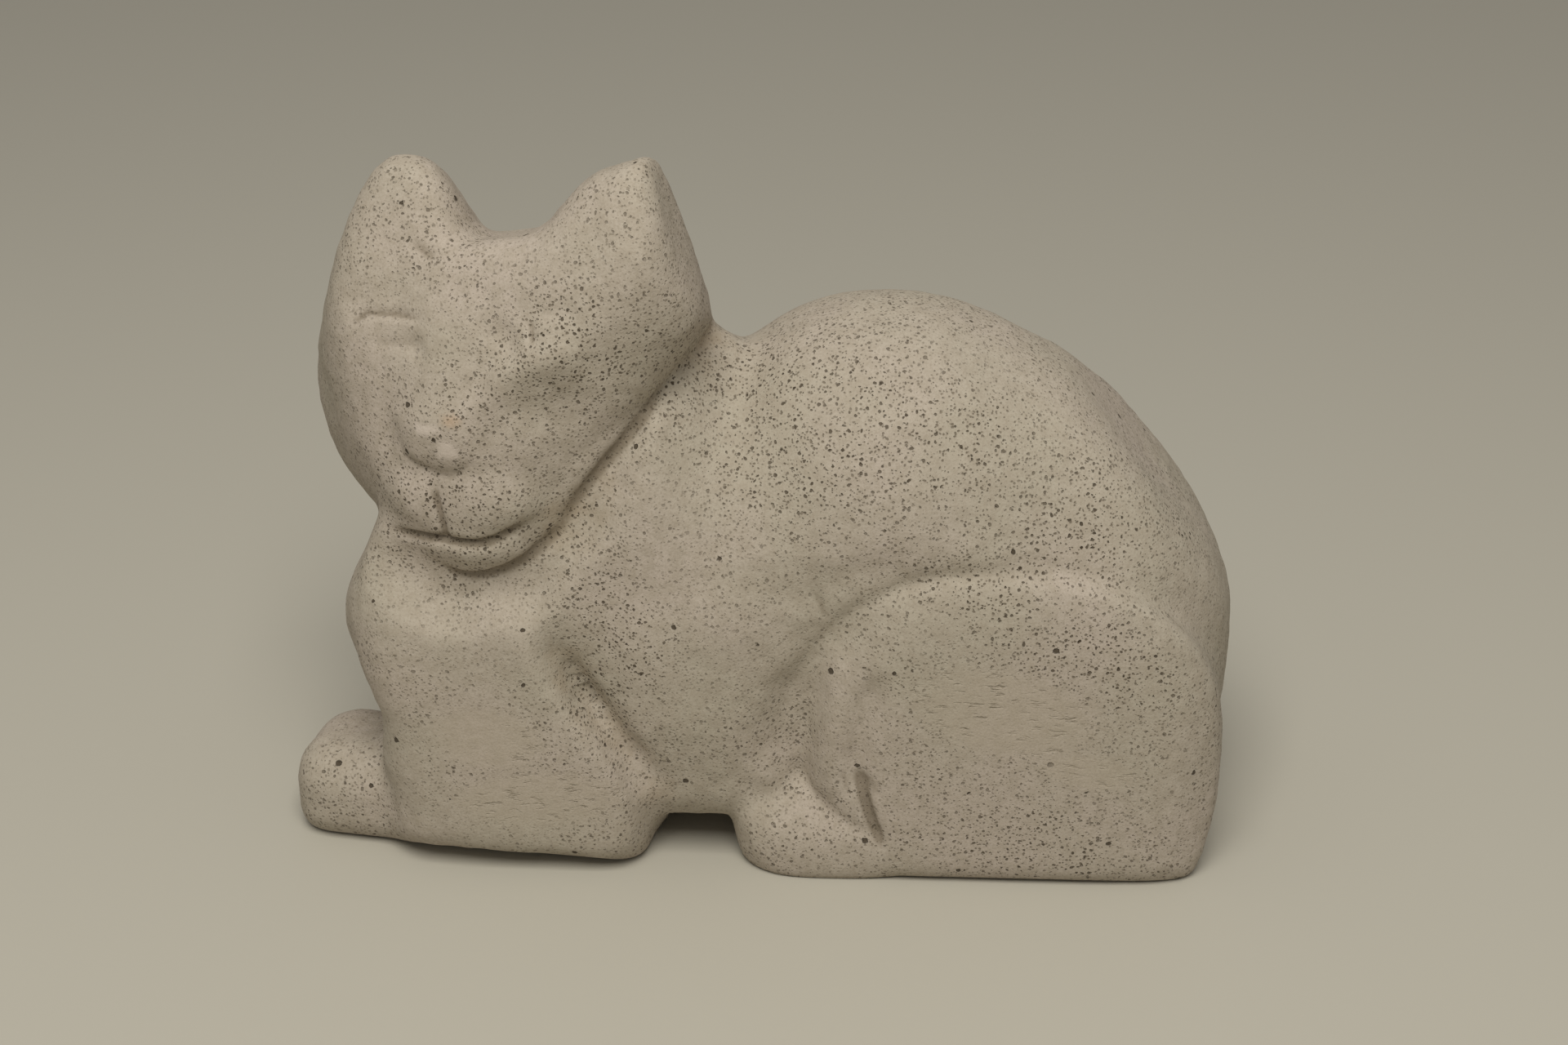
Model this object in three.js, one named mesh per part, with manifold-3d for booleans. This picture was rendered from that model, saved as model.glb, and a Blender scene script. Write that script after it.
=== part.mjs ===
// A crouching cat carved out of one block of aerated concrete, its head turned to the viewer.
// Millimetres, +Z up. X runs from the near forepaw to the rump, Y from the near flank to the far one.
import * as THREE from 'three';
import Module from 'manifold-3d';

// Driving dimensions
const LENGTH = 254;          // tip of the near forepaw to the rump
const THICKNESS = 100;       // the block that the cat is cut from
const STONE = '#a2957f';     // warm pale grey
const ROUGHNESS = 0.95;
const REAR_CELL = 10.6;      // width of one facet on the rear and on the far side
const LOW_CELL = 7.6;        // height of one facet on the legs
const HEAD_CELL = 4.6;       // width of one facet on the head

// The carving is laid out in shares of the figure's own size: 254 along, 100 through the block.
const ALONG = LENGTH / 254;
const THROUGH = THICKNESS / 100;
const HALF_BLOCK = 50;       // the flanks of the block, flat wherever the form reaches them

// Head: its middle, and how far the face is turned towards the paw's side
const HEAD = [-70, -4, 130];
const FACE_TURN = -20;

// Each facet is the way it faces (turned from the face, raised) and its distance from the head's middle.
const SKULL = [
  { turn: -60, rise: 19, out: 41.6 },     // left temple
  { turn: -52.8, rise: -8.2, out: 45.2 }, // left cheek
  { turn: -38.5, rise: -30.7, out: 45.5 }, // left jaw
  { turn: -23.6, rise: -49.1, out: 51.7 }, // chin, left of its middle
  { turn: 75.3, rise: -55.8, out: 48 },   // chin, right of its middle
  { turn: 99.3, rise: -32.1, out: 36.8 }, // right jaw
  { turn: 122, rise: 18, out: 56.4 },     // right temple
  { turn: -142.9, rise: 72.8, out: 31.4 }, // crown
];
const EAR_FOOT = { turn: 0, rise: -90, out: 0 };
const LEFT_EAR = [
  { turn: -69.1, rise: 27, out: 49.3 },   // outer edge, in line with the temple
  { turn: -61.1, rise: 11.6, out: 44.1 },
  { turn: -52.6, rise: -7.9, out: 46.6 },
  { turn: -114.5, rise: 25.4, out: 39.3 }, // outer side, towards the back
  { turn: -174, rise: 72.9, out: 51.2 },  // blunt tip
  { turn: 133.5, rise: 26.7, out: 13.6 }, // inner edge
  { turn: 90.1, rise: 25.9, out: 17.6 },  // inner side
  EAR_FOOT,
];
const RIGHT_EAR = [
  { turn: -79.7, rise: 38, out: 10 },     // inner edge
  { turn: -109.5, rise: 66.8, out: 38.8 }, // sloping top
  { turn: 120.2, rise: 14.6, out: 57 },   // outer edge, down to the nape
  { turn: 100.3, rise: 19.3, out: 64.2 }, // outer side
  { turn: 91.2, rise: -34.4, out: 37.9 },
  EAR_FOOT,
];
const FACE = [
  { turn: 0, rise: 5, out: 38.5 },        // front, from brow to mouth
  { turn: 0, rise: 28, out: 40 },         // brow and the fronts of the ears
  { turn: -38, rise: -4, out: 42.5 },     // left cheek
  { turn: 40, rise: -10, out: 44.5 },     // right cheek
];
const EARS_BACK = { turn: 180, rise: 25, out: 32 };
const BRIDGE = [[4, -25, 20], [5, -33, 0]];
const MUZZLE = { middle: [5, -20, -22], radii: [21, 20, 19] };
const LIPS = [
  { middle: [-1.5, -31, -22], radii: [9.5, 13, 9] },
  { middle: [16, -30, -21.5], radii: [12, 13, 9.5] },
];
const CHIN = { middle: [10, -28, -33], radii: [15, 13, 9] };
const NOSE = { middle: [5, -35.5, -4.5], radii: [10.5, 8.6, 7.5] };

// Haunch: its outline seen from the side, and the flank hollowed out around it
const THIGH = { middle: [64.6, 32.1], radii: [58.6, 57.8], squareness: 2.35 };
const FLANK_AT_THIGH = 43.5;
const FLANK_RISE = 6.5;
const FLANK_REACH = 8;

// Limbs
const NEAR_PAW_TIP = -126.6;
const FAR_PAW_TIP = -104;     // the far paw is drawn in, behind the chest
const ELBOW = -38.2;          // where a forearm ends, at the back

// Hollow under the jaw and up the side of the neck
const UNDER_JAW = [
  { at: [-100, -48, 92], radius: 10 },
  { at: [-79, -53, 84], radius: 11 },
  { at: [-60, -52, 86], radius: 9.5 },
  { at: [-45, -49, 101], radius: 8 },
  { at: [-30, -40, 124], radius: 3 },
];

// Soft hollows, and ridges where the depth is below nought: on the face, right and up in the head's
// own frame, and on the near flank, along and up
const FACE_MARKS = [
  { line: [[-20, 25], [-10, 26.5]], width: 5, depth: 1 },               // left brow
  { line: [[-21.5, 20], [-12, 22.5], [0, 23.4]], width: 2, depth: 1.1 },  // left lid
  { line: [[-3, 17.5], [-1, 16]], width: 3.2, depth: 0.9 },             // left eye's inner corner
  { line: [[20.5, 22.5], [22.5, 20.5]], width: 3.6, depth: 1.4 },       // right eye's inner corner
  { line: [[25, 28], [37, 29]], width: 4, depth: 0.9 },                 // right brow
  { line: [[17.5, 6], [25, 15.5], [35, 18.6]], width: 4.5, depth: -1 },   // cheekbone
  { line: [[29.5, 4], [33.5, 5.5]], width: 7, depth: 1.2 },             // hollow of the cheek
  { line: [[14.5, 9], [17.5, 14], [21.5, 20.5]], width: 3.2, depth: 0.9 }, // beside the nose
];
const FLANK_MARKS = [
  { line: [[-56, 75], [-47.2, 55], [-34.5, 38.2], [-24, 19]], width: 6, depth: 1.5 },    // behind the arm
  { line: [[-66, 84], [-57, 65], [-48.5, 50.6], [-33, 27]], width: 5, depth: -1.1 },     // arm's edge
  { line: [[19.7, 68], [19.4, 46.8], [18.4, 27]], width: 5, depth: -1.3 },               // knee
  { line: [[30.5, 66], [27.5, 48], [26.5, 26]], width: 3.5, depth: 1.5 },                // behind the knee
  { line: [[8, 66], [5.3, 44], [3, 27]], width: 6, depth: 1.9 },                         // before the knee
  { line: [[9.7, 77], [19, 87], [30.3, 91], [42.5, 92.6]], width: 5, depth: 1 },         // above the thigh
];

// Chiselled lines, each widest at its middle, to be laid on the stone: those of the face in the head's frame
const MOUTH = { line: [[-10, -41, -33.4], [4, -43, -32.8], [15, -41, -32.6], [28, -35, -27]], radius: 1.9 };
const LIP = { line: [[5, -43, -13], [5.2, -43, -21], [6.8, -43, -31]], radius: 1.5 };
const NOSTRILS = { line: [[-5, -40, -2], [-2, -42, -10.5], [7, -43, -12.6], [14.3, -41, -5]], radius: 1.3 };
const NECK_LINE = { line: [[-19, -25, 137], [-33.6, -39, 121.9], [-52, -44, 97]], radius: 1.8 };
const FOOT_LINE = { line: [[11, -42, 30], [18, -47, 21], [34, -49, 12.6]], radius: 1.8 };
const KNEE_LINE = { line: [[27.6, -48, 31], [30.5, -49, 20.3], [34, -50, 11]], radius: 2.2 };

const rad = THREE.MathUtils.degToRad;
const { abs, cos, exp, hypot, log, max, min, sin, sqrt } = Math;

// Soft joining and cutting of distances: the blend is a fillet about `soft` wide
const fillet = (a, b, soft) => (max(soft - abs(a - b), 0) / soft) ** 2 * soft / 4;
const join = (a, b, soft) => min(a, b) - fillet(a, b, soft);
const keep = (a, b, soft) => max(a, b) + fillet(a, b, soft);
const carve = (a, b, soft) => keep(a, -b, soft);

// A point seen from a form's own middle, turned about the vertical and tipped about the form's cross axis
function local([x, y, z], [cx, cy, cz], turn = 0, tip = 0) {
  const [c, s, ct, st] = [cos(rad(turn)), sin(rad(turn)), cos(rad(tip)), sin(rad(tip))];
  const along = c * (x - cx) + s * (y - cy);
  const across = c * (y - cy) - s * (x - cx);
  return [ct * along + st * (z - cz), across, ct * (z - cz) - st * along];
}

// From the head's frame back to the cat's
function fromHead([u, w, v]) {
  const [c, s] = [cos(rad(FACE_TURN)), sin(rad(FACE_TURN))];
  return [HEAD[0] + c * u - s * w, HEAD[1] + s * u + c * w, HEAD[2] + v];
}

// A rounded lump: 2 is an ellipsoid, and a larger squareness fills out its corners
function pebble(point, middle, radii, squareness = 2, turn = 0, tip = 0) {
  const share = local(point, middle, turn, tip).map((v, i) => abs(v) / radii[i]);
  const reach = max(share.reduce((sum, v) => sum + v ** squareness, 0), 1e-9) ** (1 / squareness);
  const slope = hypot(...share.map((v, i) => v ** (squareness - 1) / radii[i])) / reach ** (squareness - 1);
  return (reach - 1) / max(slope, 1e-6);
}

// A block with rounded edges
function slab(point, middle, halves, edge, turn = 0) {
  const over = local(point, middle, turn).map((v, i) => abs(v) - halves[i] + edge);
  return hypot(...over.map((v) => max(v, 0))) + min(max(...over), 0) - edge;
}

// A tapering limb between two points, round at both ends
function limb([x, y, z], [ax, ay, az], [bx, by, bz], startRadius, endRadius) {
  const [dx, dy, dz] = [bx - ax, by - ay, bz - az];
  const share = ((x - ax) * dx + (y - ay) * dy + (z - az) * dz) / (dx * dx + dy * dy + dz * dz);
  const t = min(max(share, 0), 1);
  const gap = hypot(x - ax - t * dx, y - ay - t * dy, z - az - t * dz);
  return gap - startRadius - (endRadius - startRadius) * t;
}

function facet([u, w, v], { turn, rise, out }) {
  return sin(rad(turn)) * cos(rad(rise)) * u - cos(rad(turn)) * cos(rad(rise)) * w + sin(rad(rise)) * v - out;
}

// A body bounded by facets whose edges are rubbed down
function faceted(point, facets, rubbed) {
  return rubbed * log(facets.reduce((sum, f) => sum + exp(min(facet(point, f) / rubbed, 60)), 0));
}

// The head, in its own frame: u to the right of the face, w into the head, v up
function head(point) {
  const q = local(point, HEAD, FACE_TURN);
  const lump = ({ middle, radii }, squareness) => pebble(q, middle, radii, squareness);
  let form = faceted(q, SKULL, 2.5) - 1.6;
  form = keep(form, pebble(q, [0, -8, -4], [63, 51, 60]), 10);
  const ears = join(faceted(q, LEFT_EAR, 3) - 2.2, faceted(q, RIGHT_EAR, 1.5) - 1.2, 3);
  form = join(form, keep(ears, facet(q, EARS_BACK), 9), 5);
  form = keep(form, faceted(q, FACE, 3) - 1.5, 8);
  form = join(form, limb(q, ...BRIDGE, 5, 7), 12);
  form = join(form, lump(MUZZLE, 2.2), 9);
  for (const lip of LIPS) form = join(form, lump(lip), 4);
  form = join(form, lump(CHIN, 2.3), 3);
  return join(form, lump(NOSE, 2.8), 5);
}

// Distance outside the thigh's outline, seen from the side
function outsideThigh([x, , z]) {
  const { middle, radii, squareness } = THIGH;
  return pebble([x, 0, z], [middle[0], 0, middle[1]], [radii[0], 1, radii[1]], squareness);
}

function trunk(point) {
  const [x, y, z] = point;
  let form = pebble(point, [32.8, 0, 90.1], [53.4, 46.5, 56.5], 2.15);
  form = join(form, pebble(point, [74.2, 0, 54], [52.4, 47, 78.1], 2.2), 14);
  form = join(form, pebble(point, [-16.6, 0, 65.8], [37.3, 46, 52.9], 2.7), 16);
  form = join(form, slab(point, [-14, 0, 45.7], [28, 43, 35.3], 14), 12);
  const away = max(outsideThigh(point), 0);
  const rear = 8 * THREE.MathUtils.smoothstep(x, 85, 115);
  form = keep(form, abs(y) - FLANK_AT_THIGH - FLANK_RISE * (1 - exp(-away / FLANK_REACH)) - rear, 3);
  form = keep(form, 0.92 * x + 0.39 * z - 146.8, 8);
  form = keep(form, 0.76 * x + 0.65 * z - 145.7, 8);
  return join(form, slab(point, [51.9, 0, 23.8], [58.3, 38, 22], 8), 4);
}

function chest(point) {
  let form = pebble(point, [-68.9, 0, 76.6], [47.9, 48, 42.9], 2.4);
  form = keep(form, -0.92 * point[0] + 0.39 * point[2] - 128.2, 6);
  form = join(form, slab(point, [-62.5, 6, 20.7], [37.5, 34, 21.3], 8), 6);
  form = join(form, pebble(point, [-36.1, 0, 102.9], [34.3, 43.5, 40.2], 2.3), 8);
  form = join(form, limb(point, [-14.3, -6, 131.2], [-28, -22, 119.5], 9.5, 9), 6);
  return join(form, limb(point, [-28, -22, 119.5], [-44, -34.5, 99], 9, 8), 6);
}

// Limbs are shaped on the near side: y grows towards the middle of the cat
function foreleg(point, pawTip) {
  const [x, y, z] = point;
  const [middle, half] = [(pawTip + ELBOW) / 2, (ELBOW - pawTip) / 2];
  let form = pebble(point, [-67.5, -24, 39.5], [29.8, 28, 53.3], 3, 0, 24);
  form = join(form, slab(point, [-65.5, -30, 16], [34.2, 20, 26.1], 15, -5), 10);
  form = keep(form, 0.857 * x + 0.516 * z + 11.5, 8);
  form = join(form, slab(point, [middle, -24, 10.4], [half, 18, 15.6], 12, -11), 4);
  return keep(form, -0.06 * x - 0.555 * y - 0.83 * z - 25.3, 5);
}

function hindleg(point) {
  const [x, y, z] = point;
  let haunch = pebble(point, [67.6, -22, 24.2], [58, 31, 80.1], 3);
  haunch = keep(haunch, outsideThigh(point), 3);
  haunch = keep(haunch, -0.555 * y - 0.83 * z - 25.5, 5);
  let foot = pebble(point, [19.3, -32, 11.1], [25.9, 18.5, 19.6], 2.6);
  foot = keep(foot, -0.8 * y + 0.6 * z - 47.6, 5);
  return join(haunch, keep(foot, -0.45 * x - 0.5 * y - 0.72 * z - 27.8, 8), 3);
}

// Each mark's depth, falling off with the distance to its line by the bell curve
function marks(across, up, list) {
  let depth = 0;
  for (const mark of list) {
    const gaps = mark.line.slice(1).map((end, n) =>
      limb([across, up, 0], [...mark.line[n], 0], [...end, 0], 0, 0));
    depth += mark.depth * exp(-((min(...gaps) / mark.width) ** 2));
  }
  return depth;
}

function cat(point) {
  const [x, y, z] = point;
  const across = [x, -y, z];
  let form = join(trunk(point), chest(point), 10);
  form = join(form, foreleg(point, NEAR_PAW_TIP), 6);
  form = join(form, foreleg(across, FAR_PAW_TIP), 6);
  form = join(form, join(hindleg(point), hindleg(across), 14), 3);
  for (let n = 1; n < UNDER_JAW.length; n++) {
    const [from, to] = [UNDER_JAW[n - 1], UNDER_JAW[n]];
    form = carve(form, limb(point, from.at, to.at, from.radius, to.radius), 5);
  }
  form = keep(join(form, head(point), 3), abs(y) - HALF_BLOCK, 4);
  if (abs(form) > REAR_CELL) return form;
  const [u, w, v] = local(point, HEAD, FACE_TURN);
  form += THREE.MathUtils.smoothstep(-w, 20, 28) * marks(u, v, FACE_MARKS);
  return form + THREE.MathUtils.smoothstep(-y, 14, 24) * marks(x, z, FLANK_MARKS);
}

// Lines of a lattice between two ends, their gaps running from one width to another
function spaced(from, to, widthAt) {
  const lines = [from];
  while (lines.at(-1) < to) lines.push(lines.at(-1) + widthAt(lines.at(-1)));
  return lines;
}

// The eight corners of a lattice box, and whether those inside, marked by bits, hang together by its edges
const BOX = Array.from({ length: 8 }, (_, n) => [n >> 2 & 1, n >> 1 & 1, n & 1]);
function hangsTogether(marked) {
  const first = BOX.findIndex((_, n) => marked >> n & 1);
  const reached = new Set([first]);
  for (const n of reached)
    for (const edge of [1, 2, 4]) if (marked >> (n ^ edge) & 1) reached.add(n ^ edge);
  return first < 0 || BOX.every((_, n) => !(marked >> n & 1) || reached.has(n));
}
const UNPINCHED = Array.from({ length: 256 }, (_, marked) => hangsTogether(marked) && hangsTogether(255 - marked));

// Fills the stone in wherever two skins would meet in one lattice box, so that none pinch together
function fillPinches(values, at, counts) {
  let filled = 0;
  do {
    filled = 0;
    for (let i = 0; i < counts[0] - 1; i++)
      for (let j = 0; j < counts[1] - 1; j++)
        for (let k = 0; k < counts[2] - 1; k++) {
          const box = BOX.map(([di, dj, dk]) => at(i + di, j + dj, k + dk));
          const marked = box.reduce((sum, n, bit) => sum + (values[n] < 0 ? 1 << bit : 0), 0);
          if (UNPINCHED[marked]) continue;
          const open = box.filter((n) => values[n] >= 0);
          const nearest = open.reduce((best, n) => (values[n] < values[best] ? n : best));
          values[nearest] = -0.1;
          filled++;
        }
  } while (filled > 0);
}

// The surface where a form's distance is nought: one corner in each lattice box that it crosses,
// and one four-sided facet across each lattice edge that it crosses
function skin(form, xs, ys, zs) {
  const [nx, ny, nz] = [xs.length, ys.length, zs.length];
  const at = (i, j, k) => (i * ny + j) * nz + k;
  const values = new Float64Array(nx * ny * nz);
  for (let i = 0; i < nx; i++)
    for (let j = 0; j < ny; j++)
      for (let k = 0; k < nz; k++) values[at(i, j, k)] = form([xs[i], ys[j], zs[k]]);

  fillPinches(values, at, [nx, ny, nz]);

  const corners = [];
  const cornerOf = new Map();
  const cornerIn = (i, j, k) => {
    const key = at(i, j, k);
    if (cornerOf.has(key)) return cornerOf.get(key);
    const sum = new THREE.Vector3();
    let crossings = 0;
    for (let axis = 0; axis < 3; axis++)
      for (let side = 0; side < 4; side++) {
        const start = [0, 0, 0];
        start[(axis + 1) % 3] = side & 1;
        start[(axis + 2) % 3] = side >> 1;
        const end = start.map((v, n) => (n === axis ? 1 : v));
        const a = values[at(i + start[0], j + start[1], k + start[2])];
        const b = values[at(i + end[0], j + end[1], k + end[2])];
        if (a < 0 === b < 0) continue;
        const from = new THREE.Vector3(xs[i + start[0]], ys[j + start[1]], zs[k + start[2]]);
        const to = new THREE.Vector3(xs[i + end[0]], ys[j + end[1]], zs[k + end[2]]);
        sum.add(from.lerp(to, a / (a - b)));
        crossings++;
      }
    cornerOf.set(key, corners.length);
    corners.push(sum.divideScalar(crossings));
    return corners.length - 1;
  };

  const triangles = [];
  const facetAcross = (i, j, k, axis) => {
    const step = [0, 0, 0];
    step[axis] = 1;
    const a = values[at(i, j, k)] < 0;
    const b = values[at(i + step[0], j + step[1], k + step[2])] < 0;
    if (a === b) return;
    const [s, t] = [(axis + 1) % 3, (axis + 2) % 3];
    const ring = [[0, 0], [1, 0], [1, 1], [0, 1]].map(([ds, dt]) => {
      const box = [i, j, k];
      box[s] -= ds;
      box[t] -= dt;
      return cornerIn(...box);
    });
    if (b) ring.reverse();
    const [p, q, r, o] = ring;
    const shorter = corners[p].distanceTo(corners[r]) < corners[q].distanceTo(corners[o]);
    triangles.push(...(shorter ? [p, q, r, p, r, o] : [p, q, o, q, r, o]));
  };
  for (let i = 1; i < nx - 1; i++)
    for (let j = 1; j < ny - 1; j++)
      for (let k = 1; k < nz - 1; k++)
        for (let axis = 0; axis < 3; axis++) facetAcross(i, j, k, axis);
  return { corners, triangles };
}

// Draws each corner halfway to the middle of its neighbours, so that the facets become even
function even(corners, triangles) {
  const sums = corners.map(() => new THREE.Vector3());
  const counts = corners.map(() => 0);
  triangles.forEach((corner, n) => {
    const next = triangles[n % 3 === 2 ? n - 2 : n + 1];
    for (const [a, b] of [[corner, next], [next, corner]]) {
      sums[a].add(corners[b]);
      counts[a]++;
    }
  });
  corners.forEach((corner, n) => corner.lerp(sums[n].divideScalar(counts[n]), 0.5));
}

// Moves each corner onto the form itself along the steepest way
function settle(corners, form, passes = 3) {
  const reach = 0.5;
  for (const corner of corners)
    for (let pass = 0; pass < passes; pass++) {
      const here = corner.toArray();
      const value = form(here);
      const slope = new THREE.Vector3(...[0, 1, 2].map((axis) => {
        const ahead = here.map((v, n) => (n === axis ? v + reach : v));
        return (form(ahead) - value) / reach;
      }));
      corner.addScaledVector(slope, -value / max(slope.lengthSq(), 0.25));
    }
}

const wasm = await Module();
wasm.setup();

function solid(positions, triangles) {
  return new wasm.Manifold(new wasm.Mesh({
    numProp: 3,
    vertProperties: Float32Array.from(positions),
    triVerts: Uint32Array.from(triangles),
  }));
}

// What a chisel takes out along a line: a spindle pointed at both ends
function chiselled(line, radius, rings = 9, sides = 6) {
  const curve = new THREE.CatmullRomCurve3(line);
  const { normals, binormals } = curve.computeFrenetFrames(rings + 1);
  const points = [curve.getPointAt(0)];
  const faces = [];
  for (let ring = 1; ring <= rings; ring++)
    for (let side = 0; side < sides; side++) {
      const wide = radius * sqrt(sin(Math.PI * ring / (rings + 1)));
      const turn = 2 * Math.PI * side / sides;
      points.push(curve.getPointAt(ring / (rings + 1))
        .addScaledVector(normals[ring], wide * cos(turn))
        .addScaledVector(binormals[ring], wide * sin(turn)));
    }
  points.push(curve.getPointAt(1));
  const last = points.length - 1;
  for (let side = 0; side < sides; side++) {
    const next = (side + 1) % sides;
    faces.push(0, 1 + next, 1 + side, last, last - sides + side, last - sides + next);
    for (let ring = 0; ring < rings - 1; ring++) {
      const [a, b] = [1 + ring * sides + side, 1 + ring * sides + next];
      faces.push(a, b, b + sides, a, b + sides, a + sides);
    }
  }
  return solid(points.flatMap((point) => point.toArray()), faces);
}

function slabBelow(depth) {
  const box = new THREE.BoxGeometry(2 * LENGTH, 2 * LENGTH, depth).translate(0, 0, -depth / 2);
  const { position } = box.attributes;
  const whole = new Map();
  const places = [];
  const index = Array.from(box.index.array, (n) => {
    const key = [position.getX(n), position.getY(n), position.getZ(n)].join();
    if (!whole.has(key)) {
      whole.set(key, whole.size);
      places.push(position.getX(n), position.getY(n), position.getZ(n));
    }
    return whole.get(key);
  });
  return solid(places, index);
}

const GROUND = 12;           // how far the carving runs on below the table before it is sawn off
const sawnFrom = (point) => keep(cat(point), -point[2] - GROUND, 1);
const between = (coarse, fine, share) => coarse + (fine - coarse) * share;
const { smoothstep } = THREE.MathUtils;
const fromPaw = NEAR_PAW_TIP - 3 * HEAD_CELL;
const toRump = THIGH.middle[0] + THIGH.radii[0] + 2 * REAR_CELL;
const besideBlock = HALF_BLOCK + 2 * REAR_CELL;
const xs = spaced(fromPaw, toRump, (x) => between(HEAD_CELL, REAR_CELL, smoothstep(x, -20, 40)));
const ys = spaced(-besideBlock, besideBlock, (y) => between(HEAD_CELL, REAR_CELL, smoothstep(y, -20, 20)));
const zs = spaced(-GROUND - 2 * LOW_CELL, HEAD[2] + 74, (z) => between(LOW_CELL, HEAD_CELL, smoothstep(z, 70, 95)));
const { corners, triangles } = skin(sawnFrom, xs, ys, zs);
for (let pass = 0; pass < 2; pass++) {
  even(corners, triangles);
  settle(corners, sawnFrom, 1);
}
settle(corners, sawnFrom, 2);
const atSize = (point) => new THREE.Vector3(...point).multiply(new THREE.Vector3(ALONG, THROUGH, ALONG));
const places = corners.flatMap((corner) => atSize(corner).toArray());

// A line's points, moved onto the stone
function laid(line) {
  const points = line.map((point) => new THREE.Vector3(...point));
  settle(points, cat);
  return points.map((point) => atSize(point));
}

const inFace = [MOUTH, LIP, NOSTRILS].map(({ line, radius }) => ({ line: line.map(fromHead), radius }));
const carved = [...inFace, NECK_LINE, FOOT_LINE, KNEE_LINE].reduce(
  (body, { line, radius }) => body.subtract(chiselled(laid(line), radius * ALONG)),
  solid(places, triangles).subtract(slabBelow(4 * GROUND * ALONG)),
);

function geometryOf(body) {
  const mesh = body.getMesh();
  const geometry = new THREE.BufferGeometry();
  geometry.setAttribute('position', new THREE.BufferAttribute(new Float32Array(mesh.vertProperties), 3));
  geometry.setIndex(Array.from(mesh.triVerts));
  geometry.computeBoundingBox();
  const { min: low, max: high } = geometry.boundingBox;
  geometry.translate(-(low.x + high.x) / 2, -(low.y + high.y) / 2, -low.z);
  geometry.computeVertexNormals();
  return geometry;
}

const figure = new THREE.Mesh(
  geometryOf(carved),
  new THREE.MeshStandardMaterial({ color: STONE, roughness: ROUGHNESS, metalness: 0 }),
);
figure.name = 'cat';

const group = new THREE.Group();
group.name = 'cat_figurine';
group.add(figure);

export default group;
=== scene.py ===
# %% [markdown]
# The object is a crouching cat, carved by hand out of one block of aerated concrete and left
# unpainted. It is a single piece of porous stone, so the whole lesson is about one skin: how its
# form is worked out, how the carver's marks are cut into it, and how its pores are coloured.

# %% Load the frame
import math

import bpy
import numpy as np
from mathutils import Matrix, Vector


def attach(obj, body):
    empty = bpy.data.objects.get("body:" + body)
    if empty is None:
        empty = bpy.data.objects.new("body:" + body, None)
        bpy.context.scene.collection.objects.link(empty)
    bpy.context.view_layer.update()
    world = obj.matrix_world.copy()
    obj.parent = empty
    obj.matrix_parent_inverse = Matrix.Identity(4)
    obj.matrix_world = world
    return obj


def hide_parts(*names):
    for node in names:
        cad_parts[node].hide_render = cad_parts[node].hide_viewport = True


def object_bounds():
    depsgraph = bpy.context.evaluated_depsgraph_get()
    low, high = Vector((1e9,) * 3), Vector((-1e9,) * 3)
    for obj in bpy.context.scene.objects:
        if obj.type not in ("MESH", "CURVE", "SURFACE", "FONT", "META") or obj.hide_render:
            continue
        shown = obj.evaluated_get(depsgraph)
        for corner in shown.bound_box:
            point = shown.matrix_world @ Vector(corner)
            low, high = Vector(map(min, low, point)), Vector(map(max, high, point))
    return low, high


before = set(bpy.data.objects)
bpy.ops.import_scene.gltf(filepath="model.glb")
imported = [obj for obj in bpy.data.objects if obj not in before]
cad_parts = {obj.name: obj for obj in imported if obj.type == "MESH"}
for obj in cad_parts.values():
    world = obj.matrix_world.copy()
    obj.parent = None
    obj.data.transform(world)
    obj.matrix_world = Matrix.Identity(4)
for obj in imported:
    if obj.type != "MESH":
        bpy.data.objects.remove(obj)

cad_box = [list(corner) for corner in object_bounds()]
print("frame holds", sorted(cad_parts))
print("its box is", [[round(side, 4) for side in corner] for corner in cad_box])

# %% [markdown]
# The form is carved in millimetres, the way the block was: x runs from the near forepaw to the
# rump, y from the near flank to the far one, and z up. Each part is a distance that is below nought
# inside the stone. Two distances are joined by taking the smaller one and cut by taking the larger,
# and a fillet between them gives the soft valleys and rubbed edges that a rasp leaves.

# %% Joining and cutting
def fillet(a, b, soft):
    """What rounds the corner between two distances: a quarter of soft, times the square of the
    share of soft that their difference leaves."""
    return (np.maximum(soft - np.abs(a - b), 0) / soft) ** 2 * (soft / 4)


def join(a, b, soft):
    """Both forms: the smaller distance, less the fillet."""
    return np.minimum(a, b) - fillet(a, b, soft)


def keep(a, b, soft):
    """What two forms share: the larger distance, plus the fillet."""
    return np.maximum(a, b) + fillet(a, b, soft)


def carve(a, b, soft):
    """The first form with the second one cut out of it."""
    return keep(a, -b, soft)


def smooth(share):
    """Three times the share squared less twice its cube, between nought and one."""
    share = np.clip(share, 0, 1)
    return share * share * (3 - 2 * share)


print("a fillet of 4 mm fills a valley by", float(-join(0.0, 0.0, 4)), "mm")

# %% [markdown]
# The rounded parts of the animal are three kinds of lump: a pebble, whose corners fill out as its
# squareness grows, a block with rounded edges, and a limb between two points. Each one is measured
# in a frame of its own, with its middle at nought.

# %% Rounded lumps
def seen_from(point, middle, turn=0.0, tip=0.0):
    """The point in a lump's own frame: less its middle, turned about the vertical, then tipped."""
    x, y, z = (point[axis] - middle[axis] for axis in range(3))
    c, s = math.cos(math.radians(turn)), math.sin(math.radians(turn))
    along, across = c * x + s * y, c * y - s * x
    c, s = math.cos(math.radians(tip)), math.sin(math.radians(tip))
    return np.stack([c * along + s * z, across, c * z - s * along])


def beside(numbers, point):
    """Three numbers in a shape and kind that can be set against the points, axis by axis."""
    return np.reshape(numbers, (3,) + (1,) * (np.ndim(point) - 1)).astype(point.dtype)


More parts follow.
